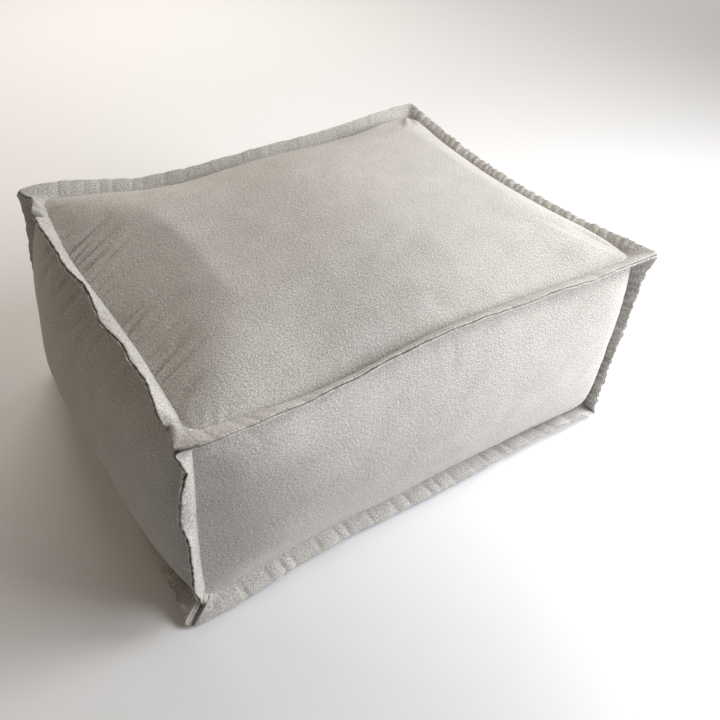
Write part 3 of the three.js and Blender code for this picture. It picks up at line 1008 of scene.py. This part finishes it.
# each noise: its grains' size along and across the weave in millimetres, its detail, and its shift,
# which keeps the four apart
STREAKS = (2.8, 1.2, 2, 0.0)
YARNS = (1.8, 0.8, 1, 31.0)
BRUSHED = (60, 34, 2, 7.0)
FLECKS = (4, 1.5, 1, 53.0)
STREAK_SHOWS, YARN_SHOWS, DARKER = 2.0, 1.6, 1.3  # their weights, and what is taken off the sum
FLECK_FROM, FLECK_FULL, FLECK_SHOWS = 0.6, 0.78, 0.55  # from where in its noise, and how strongly
WEAVE_RELIEF, STREAK_RELIEF = 0.3, 1.2  # against the yarns' own relief, which counts as 1
RELIEF = 0.0005  # metres
print("yarns lie", YARN_PITCH, "mm apart")


# %% The woven cloth
def woven_cloth(name, worn):
    """Cloth of mixed yarns; worn says how much its colour varies in wide, brushed patches."""
    cloth = Finish(name)
    cloth.shader.inputs["Sheen Weight"].default_value = 0.2
    cloth.shader.inputs["Sheen Roughness"].default_value = 0.5
    cloth.shader.inputs["Specular IOR Level"].default_value = 0.15
    place = cloth.add("ShaderNodeUVMap", {}, {})
    streaks = stretched_noise(cloth, place, *STREAKS)
    yarns = stretched_noise(cloth, place, *YARNS)
    brushed = stretched_noise(cloth, place, *BRUSHED)
    flecks = sharpened(cloth, stretched_noise(cloth, place, *FLECKS), FLECK_FROM, FLECK_FULL)
    mixed = streaks * STREAK_SHOWS + yarns * YARN_SHOWS + brushed * worn - (DARKER + worn / 2)
    colour = cloth.mix(mixed, DARK_YARN, PALE_YARN)
    cloth.feed("Base Color", cloth.mix(flecks * FLECK_SHOWS, colour, CREAM_FLECK))
    weave = ribs(cloth, place, 0, YARN_PITCH) * ribs(cloth, place, 1, YARN_PITCH)
    relief = weave * WEAVE_RELIEF + yarns + streaks * STREAK_RELIEF
    cloth.feed("Normal", cloth.add("ShaderNodeBump", {}, {
        "Height": relief, "Distance": RELIEF, "Strength": 0.4}))
    cloth.feed("Roughness", 0.9 + yarns * 0.1)
    return cloth.material


panel_cloth = woven_cloth("greige_panel_cloth", worn=0.22)
flange_cloth = woven_cloth("greige_flange_cloth", worn=0.34)
body.data.materials.clear()
body.data.materials.append(panel_cloth)
for ring, _ in rings.values():
    ring.data.materials.clear()
    ring.data.materials.append(flange_cloth)
print("cloth:", panel_cloth.name, "and", flange_cloth.name)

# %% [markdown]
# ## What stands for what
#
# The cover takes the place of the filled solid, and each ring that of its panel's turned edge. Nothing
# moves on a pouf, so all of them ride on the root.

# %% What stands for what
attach(body, "root")
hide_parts("filled_body")
for panel, (ring, length) in rings.items():
    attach(ring, "root")
    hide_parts(panel + "_panel_flange")
print("declared:", 1 + len(rings), "pieces")

# %% [markdown]
# ## The room
#
# The pouf stands by a window on its right, so the top and the front grow brighter to the right and
# the left side stays in shade. Soft square lamps near the right end make that fall in brightness, a
# larger one behind lights the far half of the top, and a weak warm one at the back left keeps the
# shaded side from going black. The last one lights the floor far behind on the right, which is nearly
# white there. The lamps themselves are hidden from the camera.

# %% The stage
FLOOR_RADIUS = 9
FLOOR_UNDER = 0.0005  # metres under the pouf, so that the two don't share a plane
FLOOR_COLOUR = (0.8, 0.81, 0.83, 1)
ROOM_COLOUR, ROOM_STRENGTH = (1, 0.88, 0.74, 1), 0.12

bpy.ops.mesh.primitive_circle_add(
    vertices=64, radius=FLOOR_RADIUS, fill_type="NGON", location=(0, 0, -FLOOR_UNDER),
)
floor = bpy.context.object
floor.name = "studio_floor"
pale = Finish("pale_floor")
pale.shader.inputs["Base Color"].default_value = FLOOR_COLOUR
pale.shader.inputs["Roughness"].default_value = 0.9
floor.data.materials.clear()
floor.data.materials.append(pale.material)

world = bpy.data.worlds.new("soft_room")
bpy.context.scene.world = world
world.use_nodes = True
world.node_tree.nodes["Background"].inputs["Color"].default_value = ROOM_COLOUR
world.node_tree.nodes["Background"].inputs["Strength"].default_value = ROOM_STRENGTH
print("floor:", floor.name, "and world:", world.name)

# %% The lamps
LAMPS = (  # name, place, aim, size in metres, watts, colour
    ("window_low", (2.2, -0.9, 0.45), (0.3, -0.1, 0.2), 0.8, 20, (0.97, 0.98, 1)),
    ("window_front", (1.0, -1.4, 0.9), (0.2, -0.2, 0.2), 0.8, 20, (0.98, 0.99, 1)),
    ("window_top", (1.0, -0.6, 1.15), (0.25, 0, 0.3), 0.7, 18, (0.98, 0.99, 1)),
    ("room_back", (0.6, 2.4, 1.8), (0, 0, 0.3), 1.8, 43, (1, 0.94, 0.86)),
    ("room_left", (-1.3, 1.8, 1.3), (0, 0, 0.3), 1.2, 9, (1, 0.8, 0.6)),
    ("far_floor", (4.2, 2.6, 2.2), (2.7, 1.3, 0), 1.5, 42, (1, 0.98, 0.95)),
)
for name, place, aim, size, watts, colour in LAMPS:
    bpy.ops.object.light_add(type="AREA", location=place)
    soft_lamp = bpy.context.object
    soft_lamp.name = name
    soft_lamp.rotation_euler = (Vector(aim) - Vector(place)).to_track_quat("-Z", "Y").to_euler()
    soft_lamp.data.size = size
    soft_lamp.data.energy = watts
    soft_lamp.data.color = colour
    soft_lamp.visible_camera = False
bpy.context.scene.view_settings.view_transform = "Standard"
print("stage set with", len(LAMPS), "lamps")
